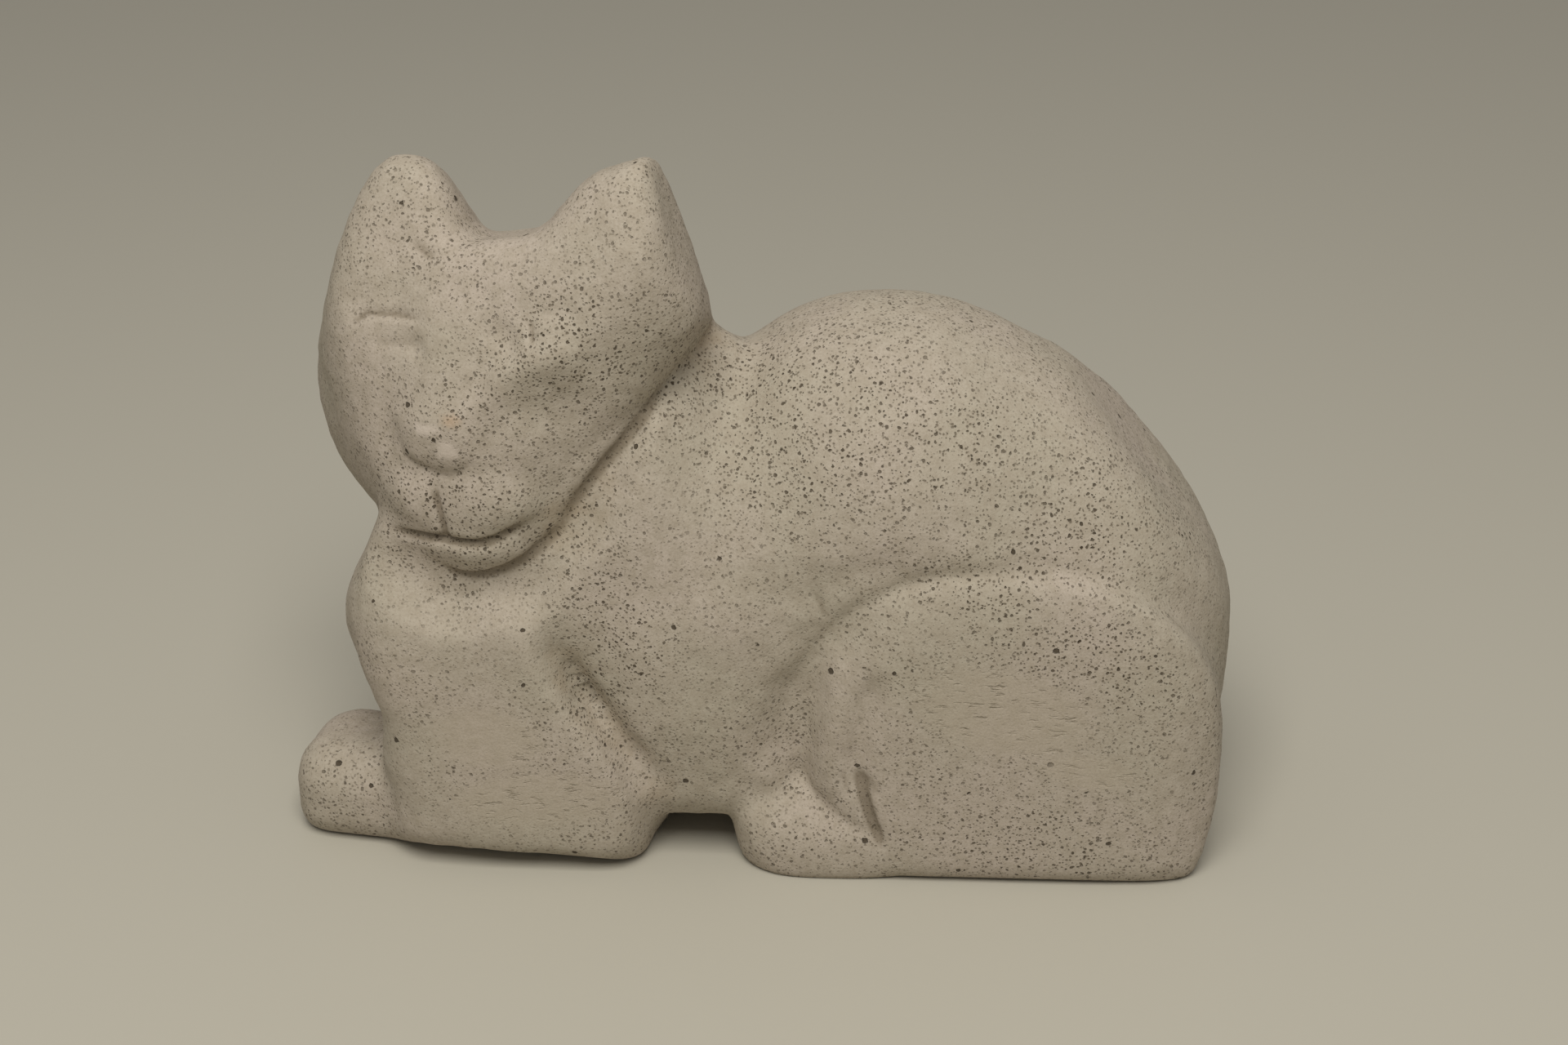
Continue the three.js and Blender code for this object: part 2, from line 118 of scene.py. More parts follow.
def pebble(point, middle, radii, squareness=2.0, turn=0.0, tip=0.0):
    """The sum of each share of a radius to the power of squareness, to one over that power, less
    one, divided by how fast it grows."""
    radii = beside(radii, point)
    share = np.abs(seen_from(point, middle, turn, tip)) / radii
    reach = np.maximum((share ** squareness).sum(0), 1e-9) ** (1 / squareness)
    steep = np.sqrt(((share ** (squareness - 1) / radii) ** 2).sum(0)) / reach ** (squareness - 1)
    return (reach - 1) / np.maximum(steep, 1e-6)


def slab(point, middle, halves, edge, turn=0.0):
    """The distance to a block that is edge smaller all round, less edge."""
    over = np.abs(seen_from(point, middle, turn)) - beside(halves, point) + edge
    return np.sqrt((np.maximum(over, 0) ** 2).sum(0)) + np.minimum(over.max(0), 0) - edge


def limb(point, start, end, start_radius, end_radius, axes=3):
    """The distance to a line between two points, less a radius that changes evenly along it."""
    step = np.subtract(end, start)
    share = sum((point[a] - start[a]) * step[a] for a in range(axes)) / float(step @ step)
    share = np.clip(share, 0, 1)
    gap = np.sqrt(sum((point[a] - start[a] - share * step[a]) ** 2 for a in range(axes)))
    return gap - start_radius - (end_radius - start_radius) * share


rim = np.array([20.0, 0.0, 0.0])
outside = pebble(rim, (0, 0, 0), (15, 10, 10))
print("20 mm out is", round(float(outside), 2), "mm outside a pebble of 15 mm")

# %% [markdown]
# The carver roughed out the head in flat cuts and then rubbed their edges, so the head is a body
# bounded by facets. A facet is given as it would be on a turntable: which way it faces round the
# vertical, how much it faces up, and how far it lies from the middle.

# %% Flat cuts
LARGEST_SHARE = 60


def past(point, way, out):
    """How far a point is past a plane: the sum of its products with the plane's way, less out."""
    return way[0] * point[0] + way[1] * point[1] + way[2] * point[2] - out


def facet(point, turn, rise, out):
    """How far a point is past a plane that faces turn and rise, out from the middle."""
    turn, rise = math.radians(turn), math.radians(rise)
    level = math.cos(rise)
    return past(point, (math.sin(turn) * level, -math.cos(turn) * level, math.sin(rise)), out)


def faceted(point, facets, rubbed):
    """A soft largest of the facets: rubbed times the logarithm of the sum of the exponentials of
    each distance over rubbed, which is held to a number that can't overflow."""
    shares = (np.minimum(facet(point, *flat) / rubbed, LARGEST_SHARE) for flat in facets)
    return rubbed * np.log(sum(np.exp(share) for share in shares))


corner = np.array([10.0, -10.0, 0.0])
rubbed_by = faceted(corner, [(0, 0, 10), (90, 0, 10)], 2.5)
print("rubbing takes", round(float(rubbed_by), 2), "mm off a square corner")

# %% [markdown]
# The head is turned about seventy degrees from the body, towards the viewer, so it has a frame of
# its own: u to the right of the face, w into the head and v up. The skull, the ears and the front
# of the face are facets, and the bridge, muzzle, lips, chin and nose are soft forms on them.

# %% Head
HEAD = (-70, -4, 130)
FACE_TURN = -20
SKULL = [(-60, 19, 41.6), (-52.8, -8.2, 45.2), (-38.5, -30.7, 45.5), (-23.6, -49.1, 51.7),
         (75.3, -55.8, 48), (99.3, -32.1, 36.8), (122, 18, 56.4), (-142.9, 72.8, 31.4)]
LEFT_EAR = [(-69.1, 27, 49.3), (-61.1, 11.6, 44.1), (-52.6, -7.9, 46.6), (-114.5, 25.4, 39.3),
            (-174, 72.9, 51.2), (133.5, 26.7, 13.6), (90.1, 25.9, 17.6), (0, -90, 0)]
RIGHT_EAR = [(-79.7, 38, 10), (-109.5, 66.8, 38.8), (120.2, 14.6, 57), (100.3, 19.3, 64.2),
             (91.2, -34.4, 37.9), (0, -90, 0)]
FACE = [(0, 5, 38.5), (0, 28, 40), (-38, -4, 42.5), (40, -10, 44.5)]
LIPS = [((-1.5, -31, -22), (9.5, 13, 9)), ((16, -30, -21.5), (12, 13, 9.5))]
EARS_BACK = (180, 25, 32)


def head(point):
    """The faceted skull and ears, kept within the face's facets, with the soft forms joined on."""
    q = seen_from(point, HEAD, FACE_TURN)
    form = faceted(q, SKULL, 2.5) - 1.6
    form = keep(form, pebble(q, (0, -8, -4), (63, 51, 60)), 10)
    ears = join(faceted(q, LEFT_EAR, 3) - 2.2, faceted(q, RIGHT_EAR, 1.5) - 1.2, 3)
    form = join(form, keep(ears, facet(q, *EARS_BACK), 9), 5)
    form = keep(form, faceted(q, FACE, 3) - 1.5, 8)
    form = join(form, limb(q, (4, -25, 20), (5, -33, 0), 5, 7), 12)
    form = join(form, pebble(q, (5, -20, -22), (21, 20, 19), 2.2), 9)
    for middle, radii in LIPS:
        form = join(form, pebble(q, middle, radii), 4)
    form = join(form, pebble(q, (10, -28, -33), (15, 13, 9), 2.3), 3)
    return join(form, pebble(q, (5, -35.5, -4.5), (10.5, 8.6, 7.5), 2.8), 5)


print("the head has", len(SKULL + LEFT_EAR + RIGHT_EAR + FACE), "flat cuts")

# %% [markdown]
# The trunk is a few overlapping pebbles with two flat cuts behind. The flank is hollowed out along
# the thigh, so that the haunch stands proud of it, and swells to the block's face away from there.

# %% Trunk
THIGH = ((64.6, 0, 32.1), (58.6, 1, 57.8), 2.35)
FLANK_AT_THIGH, FLANK_RISE, FLANK_REACH = 43.5, 6.5, 8
RUMP_START, RUMP_LENGTH, RUMP_SWELL = 85, 30, 8
BACK_CUTS = [((0.92, 0, 0.39), 146.8), ((0.76, 0, 0.65), 145.7)]


def outside_thigh(point):
    """The distance outside the thigh's outline, seen from the side."""
    return pebble(point * beside([1, 0, 1], point), *THIGH)


def flank(point):
    """Half the width of the trunk: that at the thigh, plus a rise that is one less the exponential
    of the way from the thigh over its reach, plus the swell of the rump."""
    away = np.maximum(outside_thigh(point), 0)
    swell = RUMP_SWELL * smooth((point[0] - RUMP_START) / RUMP_LENGTH)
    return FLANK_AT_THIGH + FLANK_RISE * (1 - np.exp(-away / FLANK_REACH)) + swell


def trunk(point):
    """Back, rump, shoulder and belly joined, kept within the flanks and the cuts behind."""
    form = pebble(point, (32.8, 0, 90.1), (53.4, 46.5, 56.5), 2.15)
    form = join(form, pebble(point, (74.2, 0, 54), (52.4, 47, 78.1), 2.2), 14)
    form = join(form, pebble(point, (-16.6, 0, 65.8), (37.3, 46, 52.9), 2.7), 16)
    form = join(form, slab(point, (-14, 0, 45.7), (28, 43, 35.3), 14), 12)
    form = keep(form, np.abs(point[1]) - flank(point), 3)
    for way, out in BACK_CUTS:
        form = keep(form, past(point, way, out), 8)
    return join(form, slab(point, (51.9, 0, 23.8), (58.3, 38, 22), 8), 4)


print("beside the thigh the trunk is", 2 * FLANK_AT_THIGH, "mm through")

# %% [markdown]
# The chest slopes back to the paws, and a forearm lies in front of it on each side. Planes trim the
# upper arm in front and lift the forearm's outer edge off the ground. The haunch fills the thigh's
# outline, with the foot in front of it.

# %% Chest and legs
NEAR_PAW_TIP, FAR_PAW_TIP, ELBOW = -126.6, -104, -38.2
BREAST_CUT = ((-0.92, 0, 0.39), 128.2)
ARM_CUT = ((0.857, 0, 0.516), -11.5)
FOREARM_LIFT = ((-0.06, -0.555, -0.83), 25.3)
HAUNCH_LIFT = ((0, -0.555, -0.83), 25.5)
FOOT_TOP = ((0, -0.8, 0.6), 47.6)
FOOT_LIFT = ((-0.45, -0.5, -0.72), 27.8)


def chest(point):
    """A pebble cut back to the sloping breast, a block under it, and the shoulder behind it."""
    form = pebble(point, (-68.9, 0, 76.6), (47.9, 48, 42.9), 2.4)
    form = keep(form, past(point, *BREAST_CUT), 6)
    form = join(form, slab(point, (-62.5, 6, 20.7), (37.5, 34, 21.3), 8), 6)
    form = join(form, pebble(point, (-36.1, 0, 102.9), (34.3, 43.5, 40.2), 2.3), 8)
    form = join(form, limb(point, (-14.3, -6, 131.2), (-28, -22, 119.5), 9.5, 9), 6)
    return join(form, limb(point, (-28, -22, 119.5), (-44, -34.5, 99), 9, 8), 6)


def foreleg(point, paw_tip):
    """Upper arm and forearm, trimmed in front and along the forearm's outer edge."""
    middle, half = (paw_tip + ELBOW) / 2, (ELBOW - paw_tip) / 2
    form = pebble(point, (-67.5, -24, 39.5), (29.8, 28, 53.3), 3, 0, 24)
    form = join(form, slab(point, (-65.5, -30, 16), (34.2, 20, 26.1), 15, -5), 10)
    form = keep(form, past(point, *ARM_CUT), 8)
    form = join(form, slab(point, (middle, -24, 10.4), (half, 18, 15.6), 12, -11), 4)
    return keep(form, past(point, *FOREARM_LIFT), 5)


def hindleg(point):
    """A pebble within the thigh's outline, trimmed below, and a foot in front of it."""
    haunch = pebble(point, (67.6, -22, 24.2), (58, 31, 80.1), 3)
    haunch = keep(haunch, outside_thigh(point), 3)
    haunch = keep(haunch, past(point, *HAUNCH_LIFT), 5)
    foot = pebble(point, (19.3, -32, 11.1), (25.9, 18.5, 19.6), 2.6)
    foot = keep(foot, past(point, *FOOT_TOP), 5)
    foot = keep(foot, past(point, *FOOT_LIFT), 8)
    return join(haunch, foot, 3)


print("the near forearm is", round(ELBOW - NEAR_PAW_TIP, 1), "mm long")

# %% [markdown]
# The far side repeats the near one with y turned over, except that its forepaw is drawn in behind
# the chest. A bent groove is cut under the jaw before the head is joined on. Last, the flat faces
# of the block cut both flanks off, and the ground cuts the underside.

# %% The whole cat
HALF_BLOCK = 50
BLOCK_EDGE, CARVED_EDGE, GROUND_EDGE = 4, 3, 1.2
UNDER_JAW = [(-100, -48, 92), (-79, -53, 84), (-60, -52, 86), (-45, -49, 101), (-30, -40, 124)]
JAW_RADII = [10, 11, 9.5, 8, 3]


def uncut(point):
    """The whole cat before the block's faces cut it off."""
    turned_over = np.stack([point[0], -point[1], point[2]])
    form = join(trunk(point), chest(point), 10)
    form = join(form, foreleg(point, NEAR_PAW_TIP), 6)
    form = join(form, foreleg(turned_over, FAR_PAW_TIP), 6)
    form = join(form, join(hindleg(point), hindleg(turned_over), 14), 3)
    for ends in zip(UNDER_JAW[:-1], UNDER_JAW[1:], JAW_RADII[:-1], JAW_RADII[1:]):
        form = carve(form, limb(point, *ends), 5)
    return join(form, head(point), 3)


def in_block(point, edge):
    """The uncut cat kept between the block's two faces, with edges that are rubbed by a fillet."""
    return keep(uncut(point), np.abs(point[1]) - HALF_BLOCK, edge)


def cat(point):
    """The cat in the block and above the ground."""
    return keep(in_block(point, BLOCK_EDGE), -point[2], GROUND_EDGE)


core = np.array([0.0, 0.0, 60.0])
print("the middle of the body is", round(float(-cat(core)), 1), "mm inside the stone")

# %% [markdown]
# A lattice of points, a little over a millimetre apart, is laid through the block, and the form's
# distance is worked out at each. Where two corners of a box that lie across from each other are in
# the stone and nothing between them is, two skins would meet in a point, so such boxes are filled.

# %% Lattice
CELL = 1.32
LOWEST, HIGHEST = (-127, -HALF_BLOCK, 0), (127, HALF_BLOCK, 195)
ROOM_BELOW, ROOM_ABOVE = 2.37 * CELL, 2.5 * CELL
FILLED = -0.02
FILLING_ROUNDS = 20


def hangs_together(marked):
    """Whether the corners marked by bits in a number are joined up by the edges of their box."""
    corners = {n for n in range(8) if marked >> n & 1}
    reached = set(sorted(corners)[:1])
    for _ in range(7):
        reached |= {n ^ edge for n in reached for edge in (1, 2, 4)} & corners
    return reached == corners


PINCHED = np.array([not (hangs_together(n) and hangs_together(255 - n)) for n in range(256)])


def fill_pinches(values):
    """Fills the stone in at the eight corners of any box where two skins would meet."""
    sizes = [n - 1 for n in values.shape]
    steps = [((c >> 2) & 1, (c >> 1) & 1, c & 1) for c in range(8)]
    corners = [tuple(slice(d, d + n) for d, n in zip(step, sizes)) for step in steps]
    for _ in range(FILLING_ROUNDS):
        marks = sum((values[cut] < 0).astype(np.int32) << c for c, cut in enumerate(corners))
        bad = PINCHED[marks]
        if not bad.any():
            return
        for cut in corners:
            view = values[cut]
            view[bad] = np.minimum(view[bad], FILLED)


rows = [np.arange(low - ROOM_BELOW, high + ROOM_ABOVE, CELL, dtype=np.float32)
        for low, high in zip(LOWEST, HIGHEST)]
values = cat(np.stack(np.meshgrid(*rows, indexing="ij")))
fill_pinches(values)
print("a lattice of", values.shape, "points, of which", int((values < 0).sum()), "are in the stone")

# %% [markdown]
# Each box of the lattice that the surface crosses gets one corner of the mesh, and each lattice
# edge that it crosses gets one four-sided face, so the skin comes out closed, in even quads, with
# no seams to hide.

# %% Skin of the form
AROUND = ((1, 1), (0, 1), (0, 0), (1, 0))


def part_of(array, axis, first, last):
    """The slice of an array from first to last along one axis."""
    cut = [slice(None)] * array.ndim
    cut[axis] = slice(first, last)
    return array[tuple(cut)]


def crossings(values, axis):
    """Which lattice edges along an axis the surface crosses, and at what share of the edge: the
    distance behind over the change from behind to ahead."""
    behind, ahead = part_of(values, axis, 0, -1), part_of(values, axis, 1, None)
    crossed = (behind < 0) != (ahead < 0)
    return crossed, np.where(crossed, behind / np.where(crossed, behind - ahead, 1), 0)


def box_means(values):
    """Where each crossed box's corner of the mesh lies: the mean of the crossings on its edges,
    counted in boxes, and the numbers of those boxes."""
    sizes = tuple(n - 1 for n in values.shape)
    total, count = np.zeros((3,) + sizes, np.float32), np.zeros(sizes, np.float32)
    for axis in range(3):
        side, up = (axis + 1) % 3, (axis + 2) % 3
        crossed, share = crossings(values, axis)
        for ds, du in ((0, 0), (0, 1), (1, 0), (1, 1)):
            here, part = (part_of(part_of(array, side, ds, sizes[side] + ds), up, du, sizes[up] + du)
                          for array in (crossed, share))
            total[axis] += here * part
            total[side] += here * ds
            total[up] += here * du
            count += here
    boxes = np.flatnonzero(count)
    lowest = np.array(np.unravel_index(boxes, sizes), np.float32)
    return lowest + total.reshape(3, -1)[:, boxes] / count.ravel()[boxes], boxes


def box_rings(values):
    """The four boxes round each crossed edge, the other way round where the stone lies ahead."""
    sizes = tuple(n - 1 for n in values.shape)
    rings = []
    for axis in range(3):
        side, up = (axis + 1) % 3, (axis + 2) % 3
        edges = np.argwhere(crossings(values, axis)[0])
        inner = np.all([(edges[:, a] > 0) & (edges[:, a] < sizes[a]) for a in (side, up)], axis=0)
        edges = edges[inner]
        ring = np.repeat(edges[:, None], len(AROUND), axis=1)
        ring[:, :, [side, up]] -= AROUND
        ring = np.ravel_multi_index(tuple(np.moveaxis(ring, 2, 0)), sizes)
        outward = values[tuple(edges.T)] < 0
        rings.append(np.where(outward[:, None], ring, ring[:, ::-1]))
    return np.concatenate(rings)


means, boxes = box_means(values)
points = np.stack([np.interp(mean, np.arange(len(row)), row) for mean, row in zip(means, rows)])
number = np.full(math.prod(n - 1 for n in values.shape), -1)
number[boxes] = np.arange(len(boxes))
faces = number[box_rings(values)]
print("skin of", len(faces), "quads on", points.shape[1], "points")

# %% [markdown]
# The carver's marks are curves drawn on the front of the face and on the near flank, each with its
# width, its depth (below nought where the stone stands up) and a few points that it runs through.
# The list of the face has the brows, lids, cheekbone, nose, mouth and the line under the jaw, in
# the head's u and v. The list of the flank has the arm's crease, the hollow before the haunch, the
# knee, the haunch's rim and the neck, in x and z.

# %% Marks of the carver
FACE_MARKS = [
    (5.0, 1.0, [(-20, 25), (-10, 26.5)]),
    (0.9, 1.0, [(-23.5, 17), (-18, 22.2), (-14.5, 22.9), (-10, 23.4), (1, 24)]),
    (1.2, -0.3, [(-19.2, 19.5), (-13.9, 21.3), (-9.2, 21.8), (-1.2, 22.4)]),
    (1.4, 0.5, [(-16, 18.6), (-13.2, 16.4), (-7.8, 17.2), (-1.8, 17.6), (1, 16.2)]),
    (3.2, 0.8, [(-3, 17.5), (-1, 16)]),
    (3.4, 1.9, [(20.5, 22.5), (22.5, 20.5)]),
    (0.9, 0.9, [(27.9, 26), (29.3, 22.7)]),
    (4.0, 0.9, [(25, 28), (37, 29)]),
    (1.3, -0.5, [(29, 25.8), (39, 26.4)]),
    (4.5, -1.3, [(17.5, 6), (25, 15.5), (35, 18.6)]),
    (7.0, 1.6, [(29.5, 4), (33.5, 5.5)]),
    (2.2, 0.8, [(13.5, 4), (17.5, 14), (22.5, 21.5)]),
    (0.9, 0.7, [(-5.5, -3.5), (-4.2, -9.6), (1.6, -12.2), (7.3, -13.4), (12.5, -11.8),
                (14.8, -6)]),
    (0.9, 1.5, [(5.3, -15.5), (5.1, -19.8), (6.3, -25), (6.8, -34)]),
    (1.1, 2.4, [(-14, -32.6), (0.1, -32.4), (6.5, -32), (11.8, -32.3), (15.8, -32),
                (20.8, -30.2), (30, -24.8)]),
    (1.4, 1.5, [(0, -37), (4.5, -42.3), (9.1, -44), (15.6, -43), (23.4, -39.2),
                (28, -35), (32.4, -29.8), (36, -24)]),
    (1.2, 0.8, [(-6.5, 39.8), (-2, 37.8)])]
FLANK_MARKS = [
    (4.0, 2.5, [(-57, 77), (-52, 66), (-47.2, 55), (-40.6, 46.3), (-34.5, 38.2),
                (-28.5, 29.5), (-24, 19)]),
    (2.5, 1.1, [(-48.5, 60), (-45.5, 52)]),
    (5.0, -1.1, [(-66, 84), (-57, 65), (-48.5, 50.6), (-39.3, 38.6), (-33, 27)]),
    (4.5, -1.8, [(21.5, 74), (19.4, 46.8), (17.5, 16)]),
    (3.2, 2.0, [(32, 66), (28.5, 48), (27, 37.5), (27, 24)]),
    (0.9, 0.6, [(22.3, 34.5), (24.9, 25.2)]),
    (1.2, 0.6, [(26.5, 31), (30.4, 31), (32.3, 25.5)]),
    (1.4, 2.1, [(26.4, 36), (28.6, 26), (31, 18), (34.5, 9)]),
    (2.0, 0.9, [(9, 34), (12, 27), (16.7, 22.1), (22.2, 17.9), (33.9, 12.6)]),
    (6.0, 1.9, [(8, 66), (5.3, 44), (3, 27)]),
    (5.0, 1.0, [(9.7, 77), (19, 87), (30.3, 91), (42.5, 92.6)]),
    (1.1, 0.4, [(64.3, 91.6), (71.4, 94.3), (78.8, 89.6)]),
    (1.0, 0.8, [(15, 85.4), (18.9, 75.4)]),
    (1.6, 1.4, [(-18, 138), (-25, 132.3), (-33.6, 121.9), (-43.5, 109.7), (-52, 97)]),
    (2.2, -1.0, [(-20.7, 130.4), (-27.5, 122.3), (-35.2, 110.8)])]
print(len(FACE_MARKS), "marks on the face and", len(FLANK_MARKS), "on the flank")

# %% [markdown]
# A mark is a smooth curve through its points with a bell-shaped groove along it. Where one starts
# and stops, a tool is lifted out of the stone, so a long mark fades towards both ends.

# %% Grooves along curves
MARK_REACH = 3
SHORTEST_SPAN = 1.5
LONG_MARK = 6
FADING_SHARE = 0.3


def curve_through(line, count):
    """Points on a smooth curve through a few given ones: between two of them it is the cubic whose
    slope at each is half the step from the one before it to the one after it."""
    before, after = 2 * np.array(line[0]) - line[1], 2 * np.array(line[-1]) - line[-2]
    line = np.array([before, *line, after], float)
    share = np.linspace(0, len(line) - 3, count)
    span = np.minimum(share.astype(int), len(line) - 4)
    t = (share - span)[:, None]
    a, b, c, d = (line[span + n] for n in range(4))
    return 0.5 * (2 * b + (c - a) * t + (2 * a - 5 * b + 4 * c - d) * t ** 2
                  + (3 * b - a - 3 * c + d) * t ** 3)


def marks(across, up, chosen):
    """The sum of each mark's depth times e to the power of less the square of the distance to its
    curve over its width, near the curve."""
    depth = np.zeros(across.shape)
    for width, deep, line in chosen:
        reach = MARK_REACH * width
        (left, low), (right, high) = np.min(line, axis=0) - reach, np.max(line, axis=0) + reach
        near = (across > left) & (across < right) & (up > low) & (up < high)
        flat = (across[near], up[near])
        length = sum(math.dist(*ends) for ends in zip(line[:-1], line[1:]))
        spans = round(length / max(2 * width, SHORTEST_SPAN))
        curve = curve_through(line, max(len(line), spans + 1))
        gap = np.min([limb(flat, *ends, 0, 0, 2) for ends in zip(curve[:-1], curve[1:])], axis=0)
        mark = deep * np.exp(-(gap / width) ** 2)
        if length > LONG_MARK * width:
            ends = [np.hypot(flat[0] - x, flat[1] - y) for x, y in (line[0], line[-1])]
            mark = mark * smooth(np.min(ends, axis=0) / (FADING_SHARE * length))
        depth[near] += mark
    return depth


arc = curve_through([(0, 0), (1, 1), (2, 0)], 5)
print("a curve bent over one point runs through", [[round(float(v), 2) for v in p] for p in arc])

# %% [markdown]
# The mean of the crossings lies a little off the true form, and rounds off its creases. So every
# corner is evened out among its neighbours and then moved along the steepest way onto the form.
# The broad marks belong to that form: the brows, the cheekbone, the crease of the arm. The narrow
# ones don't, because the corners would slide out of them again, and they come in the next step.

# %% Settle the skin on the form
LINE_WIDTH = 1.8
SLOPE_REACH = 0.15
GENTLEST, LONGEST_STEP = 0.25, 1.5


def cuts(point, narrowest, widest):
    """How deep the marks of some widths go at each point: those of the face where it faces forward,
    and those of the near flank on that side only."""
    face, side = ([mark for mark in group if narrowest <= mark[0] < widest]
                  for group in (FACE_MARKS, FLANK_MARKS))
    q = seen_from(point, HEAD, FACE_TURN)
    forward, near = smooth((-q[1] - 20) / 8), smooth((-point[1] - 14) / 10)
    return forward * marks(q[0], q[2], face) + near * marks(point[0], point[2], side)


def carved(point):
    """The cat's form with its broad marks taken out of it."""
    form = in_block(point, CARVED_EDGE) + cuts(point, LINE_WIDTH, math.inf)
    return keep(form, -point[2], GROUND_EDGE)


def slope(form, point):
    """How the form's distance changes along each axis, from points on either side."""
    steps = SLOPE_REACH * np.eye(3)[:, :, None]
    return np.stack([(form(point + step) - form(point - step)) / (2 * SLOPE_REACH)
                     for step in steps])


def evened(point, rings, share):
    """Each point moved by a share of the way to the mean of those that it has an edge with."""
    start, end = rings.ravel(), np.roll(rings, -1, axis=1).ravel()
    corners = point.shape[1]
    number = np.bincount(start, minlength=corners) + np.bincount(end, minlength=corners)
    total = [np.bincount(start, c[end], corners) + np.bincount(end, c[start], corners)
             for c in point]
    return point + share * (np.stack(total) / number - point)


def settled(point, form, passes):
    """Each point less its distance times the slope over the slope's own length squared."""
    for _ in range(passes):
        steep = slope(form, point)
        step = form(point) * steep / np.maximum((steep ** 2).sum(0), GENTLEST)
        length = np.sqrt((step ** 2).sum(0))
        point = point - step * np.minimum(1, LONGEST_STEP / np.maximum(length, 1e-9))
    return point


for _ in range(3):
    points = settled(evened(points, faces, 0.5), carved, 1)
points = settled(points, carved, 2)
print("settled within", float(np.abs(carved(points)).max().round(3)), "mm of the form")

# %% [markdown]
# A hand-held rasp leaves broad, barely seen waves in the soft stone. They are a sum of a few dozen
# cosines with their own directions and wavelengths, pushed in and out along the surface's normal.
# The flat faces of the block and the underside have none. The narrow lines, such as the lids, the
# mouth and the slit beside the knee, are pushed in along the normal too, which keeps them sharp.

# %% Rasp waves and narrow lines
BROAD_WAVES, FINE_WAVES = (14, 34), (4, 9)
BROAD_HEIGHT, FINE_HEIGHT = 0.13, 0.06
rng = np.random.default_rng(7)


def waves(point, shortest, longest, count=36):
    """The sum of cosines of the point along random directions, at random wavelengths and phases,
    over the root of half their number."""
    way = rng.normal(size=(count, 3))
    way /= np.linalg.norm(way, axis=1, keepdims=True)
    length = np.exp(rng.uniform(math.log(shortest), math.log(longest), count))
    phase = rng.uniform(0, 2 * np.pi, count)
    ripples = (np.cos(2 * np.pi * (w @ point) / l + p) for w, l, p in zip(way, length, phase))
    return sum(ripples) / math.sqrt(count / 2)


steep = slope(carved, points)
normal = steep / np.linalg.norm(steep, axis=0)
rasped = smooth(points[2] / 6) * smooth((HALF_BLOCK - np.abs(points[1])) / 2)
broad, fine_ones = waves(points, *BROAD_WAVES), waves(points, *FINE_WAVES)
rasped = rasped * (BROAD_HEIGHT * broad + FINE_HEIGHT * fine_ones)
lined = cuts(points, 0, LINE_WIDTH)
points = points + normal * (rasped - lined)
print("waves up to", round(float(np.abs(rasped).max()), 2), "mm high")
print("narrow lines up to", round(float(lined.max()), 2), "mm deep")

# %% [markdown]
# What the surface looks like changes from place to place. The neck groove and the arm's crease are
# a darker brown, two fresh chips on the nose are pale beside a small stain, and the flat places
# where the block's own face is left are smeared smooth, with few pores. Elsewhere the pores crowd
# together: over the back, the rump, the cheek and the foot of the haunch. The narrow lines get
# painted shade, darker than their depth alone would make them. All this is worked out for every
# point and kept on the mesh as attributes, which the material reads.

# %% Places with a finish of their own
def patch(point, middle, radii, turn=0.0):
    """One inside an ellipse on the near flank and nought outside it, with a soft edge."""
    c, s = math.cos(math.radians(turn)), math.sin(math.radians(turn))
    x, z = point[0] - middle[0], point[2] - middle[1]
    far = np.hypot((c * x + s * z) / radii[0], (c * z - s * x) / radii[1])
    return smooth((1.25 - far) / 0.5)


def spot(point, middle, radii, edge=0.3):
    """One inside a pebble and nought outside it, with an edge that is a share of its radii wide."""
    share = np.sqrt(sum(((point[a] - middle[a]) / radii[a]) ** 2 for a in range(3)))
    return smooth((1 + edge / 2 - share) / edge)


def any_of(kind, point, places):
    """The largest of one kind of mask over a list of places."""
    return np.max([kind(point, *place) for place in places], axis=0)


SMEARS = [((-70, 42), (14, 9), -8), ((-57, 24), (21, 8), 3),
          ((64, 53), (22, 12), -12), ((87, 36), (12, 5), -8)]
NECK, ARM = ((-16, -10, 137), (-48, -40, 101), 2, 2), ((-50, -45, 62), (-26, -45, 24), 2.5, 2)
CHIPS = [((3.4, -43, -1.4), (2.6, 6, 1.5)), ((5.6, -43, -0.6), (2.4, 6, 0.9)),
         ((9.6, -43, -5.4), (2.2, 6, 2.0)), ((10.6, -43, -6.9), (1.9, 6, 1.5)),
         ((8.0, -43, -7.4), (1.4, 6, 1.0))]
STAIN = ((10.7, -41, 1.9), (2.2, 6, 1.6), 0.9)
CROWDS = [((40, 112), (60, 26), -12), ((80, 72), (34, 12), -25), ((-38, 68), (14, 24))]
CHEEK, HAUNCH_FOOT = ((4, -30, -24), (34, -10, 10), 15, 20), ((75, 13), (44, 11))

q = seen_from(points, HEAD, FACE_TURN)
smeared = smooth((-points[1] - 44) / 4) * any_of(patch, points, SMEARS)
smeared = np.maximum(smeared, 0.8 * smooth((points[1] - 48.2) / 1.5))
# A darker brown along the neck groove and along the arm's crease.
crease_browning = np.maximum(0.8 * smooth(1.15 - limb(points, *NECK) / 8),
                  0.5 * smooth(1.1 - limb(points, *ARM) / 5))
crowded = np.maximum(any_of(patch, points, CROWDS), smooth(1.5 - limb(q, *CHEEK) / 12))
crowded = np.maximum(crowded, 0.8 * patch(points, *HAUNCH_FOOT))
# The depth of the narrow lines goes along too, for the painted shade that darkens them.
masks = {"smeared": smeared, "crease_browning": crease_browning, "chip": any_of(spot, q, CHIPS),
         "stain": spot(q, *STAIN), "lined": lined, "crowded": crowded}
print("points in:", {name: int((mask > 0.5).sum()) for name, mask in masks.items()})

